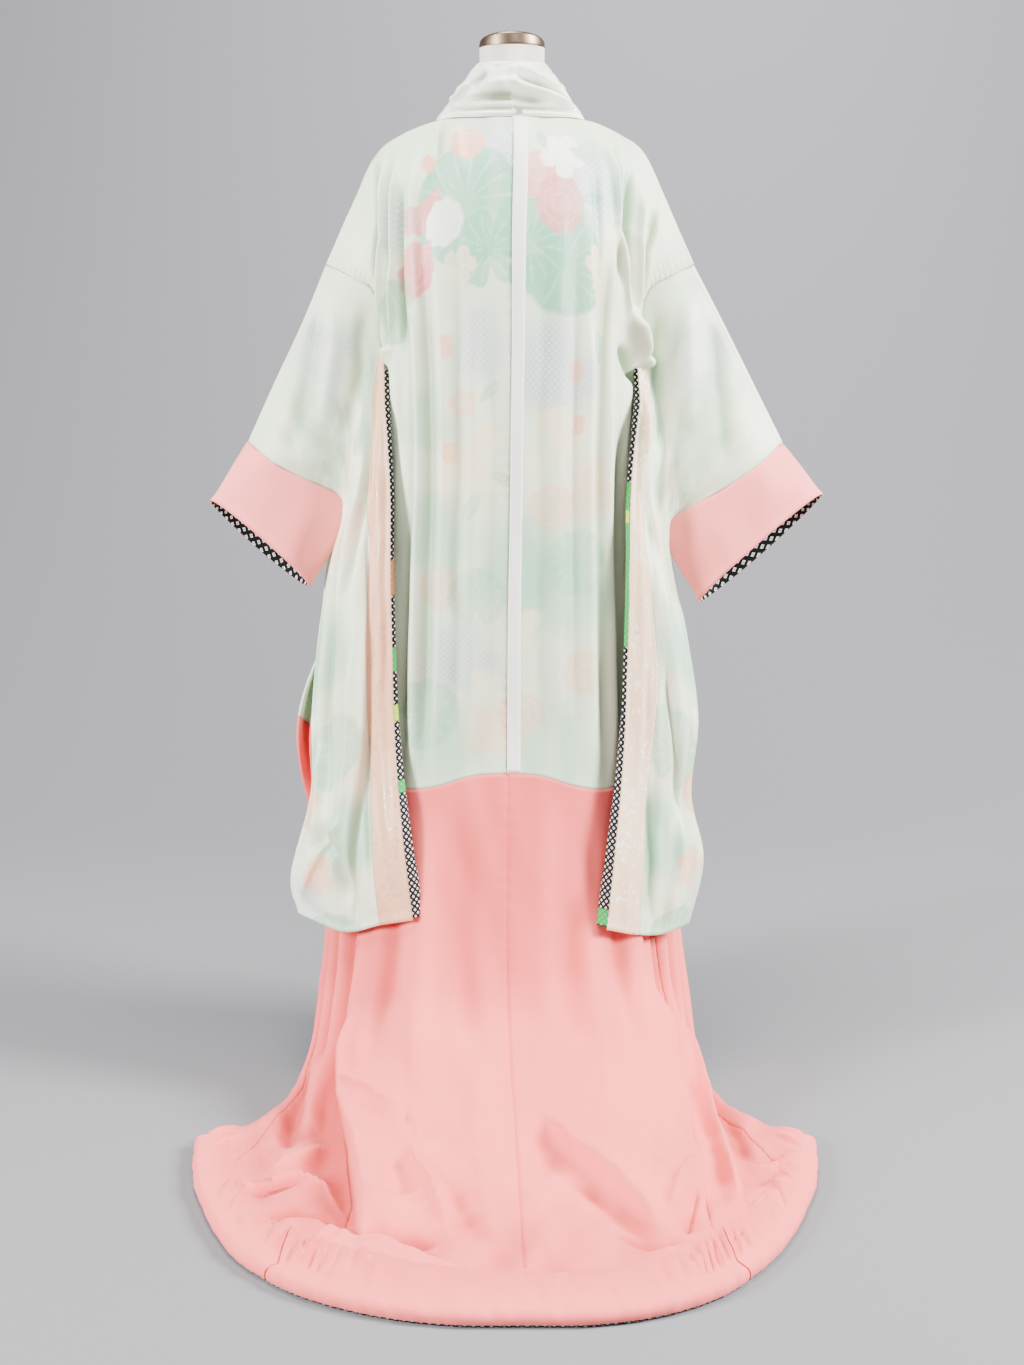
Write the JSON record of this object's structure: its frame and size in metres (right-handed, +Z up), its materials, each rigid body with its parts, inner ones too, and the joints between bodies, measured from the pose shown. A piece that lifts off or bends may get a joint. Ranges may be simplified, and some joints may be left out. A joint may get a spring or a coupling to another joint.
{
  "type": "bridal furisode on a dress form",
  "caption": "Trailing lined bridal kimono with long swinging sleeves, shown from the back turned inside out on a limbless dress form, its train spread on the floor.",
  "frame": {"origin": "middle of the underside of the stand's round base, on the floor", "axes": "+Z up; the back of the garment and its train face -Y; +X is the viewer's right seen from behind the garment"},
  "size_m": [0.8976, 1.0633, 1.5293],
  "materials": {
    "mint_lining": "pale mint silk lining with a soft satin sheen and a faint floral print showing through",
    "pink_lining": "soft pink crepe silk, nearly matte",
    "collar_satin": "silvery green satin, creased",
    "cream_jacquard": "cream to peach satin with a self-coloured woven flower pattern",
    "ivory_strip": "ivory silk tape",
    "face_cloth": "black silk with rows of small white tie-dyed dots and bright printed patches",
    "linen": "plain natural linen, matte",
    "bronze": "brushed dark bronze",
    "steel": "small plated press stud"
  },
  "bodies": {
    "root": {"form_torso": "linen", "neck_cap": "bronze", "hip_plate": "bronze", "stand_pole": "bronze", "stand_base": "bronze", "lining_back_left": "mint_lining", "lining_back_right": "mint_lining", "lining_front_left": "mint_lining", "lining_front_right": "mint_lining", "overlap_upper_left": "mint_lining", "overlap_upper_right": "mint_lining", "skirt_lining_back_left": "pink_lining", "skirt_lining_back_right": "pink_lining", "skirt_lining_front_left": "pink_lining", "skirt_lining_front_right": "pink_lining", "overlap_lower_left": "pink_lining", "overlap_lower_right": "pink_lining", "hem_roll_back_left": "pink_lining", "hem_roll_back_right": "pink_lining", "hem_roll_front_left": "pink_lining", "hem_roll_front_right": "pink_lining", "seam_strip": "ivory_strip", "collar": "collar_satin", "collar_snap": "steel", "sleeve_back_left": "mint_lining", "sleeve_front_left": "mint_lining", "sleeve_facing_back_left": "cream_jacquard", "sleeve_facing_front_left": "cream_jacquard", "sleeve_face_edge_left": "face_cloth", "cuff_left": "pink_lining", "sleeve_back_right": "mint_lining", "sleeve_front_right": "mint_lining", "sleeve_facing_back_right": "cream_jacquard", "sleeve_facing_front_right": "cream_jacquard", "sleeve_face_edge_right": "face_cloth", "cuff_right": "pink_lining"}
  },
  "joints": []
}
